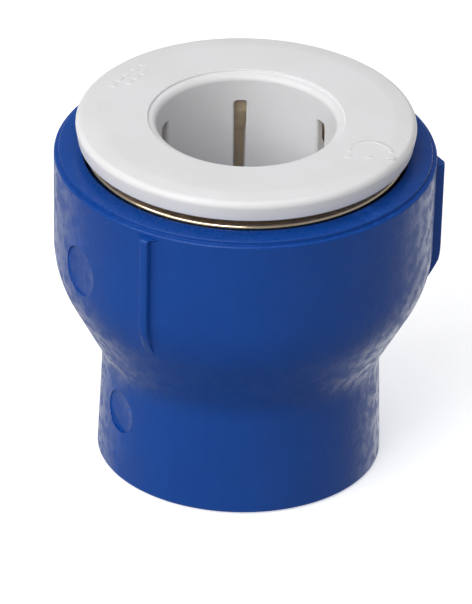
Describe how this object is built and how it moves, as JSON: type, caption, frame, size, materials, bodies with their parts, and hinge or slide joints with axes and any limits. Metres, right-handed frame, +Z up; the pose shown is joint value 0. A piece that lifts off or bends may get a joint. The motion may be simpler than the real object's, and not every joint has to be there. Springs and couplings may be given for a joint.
{
  "type": "push to connect fitting",
  "caption": "Straight push-to-connect adapter: plastic body with a fusion pipe socket below, brass cartridge, seal and slotted release collet that grips a pushed-in tube.",
  "frame": {"origin": "centre of the bottom face of the body, on the bore axis", "axes": "+Z runs up the bore from the pipe socket to the tube port; +X points at one of the three ribs"},
  "size_m": [0.0487, 0.0478, 0.0467],
  "materials": {
    "body_blue": "moulded blue polypropylene, satin gloss",
    "sleeve_brass": "turned brass",
    "seal_rubber": "black lubricated rubber",
    "washer_acetal": "moulded grey acetal",
    "collet_acetal": "moulded pale grey acetal",
    "tooth_steel": "stamped stainless steel"
  },
  "bodies": {
    "housing": {"body": "body_blue", "cartridge_sleeve": "sleeve_brass", "o_ring": "seal_rubber"},
    "turning_washer": {"backing_washer": "washer_acetal"},
    "release_collet": {"collet": "collet_acetal", "grip_tooth_1": "tooth_steel", "grip_tooth_2": "tooth_steel", "grip_tooth_3": "tooth_steel", "grip_tooth_4": "tooth_steel", "grip_tooth_5": "tooth_steel", "grip_tooth_6": "tooth_steel"}
  },
  "joints": [
    {"name": "collet_turn", "type": "hinge", "parent": "housing", "child": "turning_washer", "pos_m": [0, 0, 0.0285], "axis": [0, 0, 1], "continuous": true},
    {"name": "collet_release", "type": "slide", "parent": "turning_washer", "child": "release_collet", "axis": [0, 0, -1], "range_m": [-0.0003, 0.001]}
  ]
}
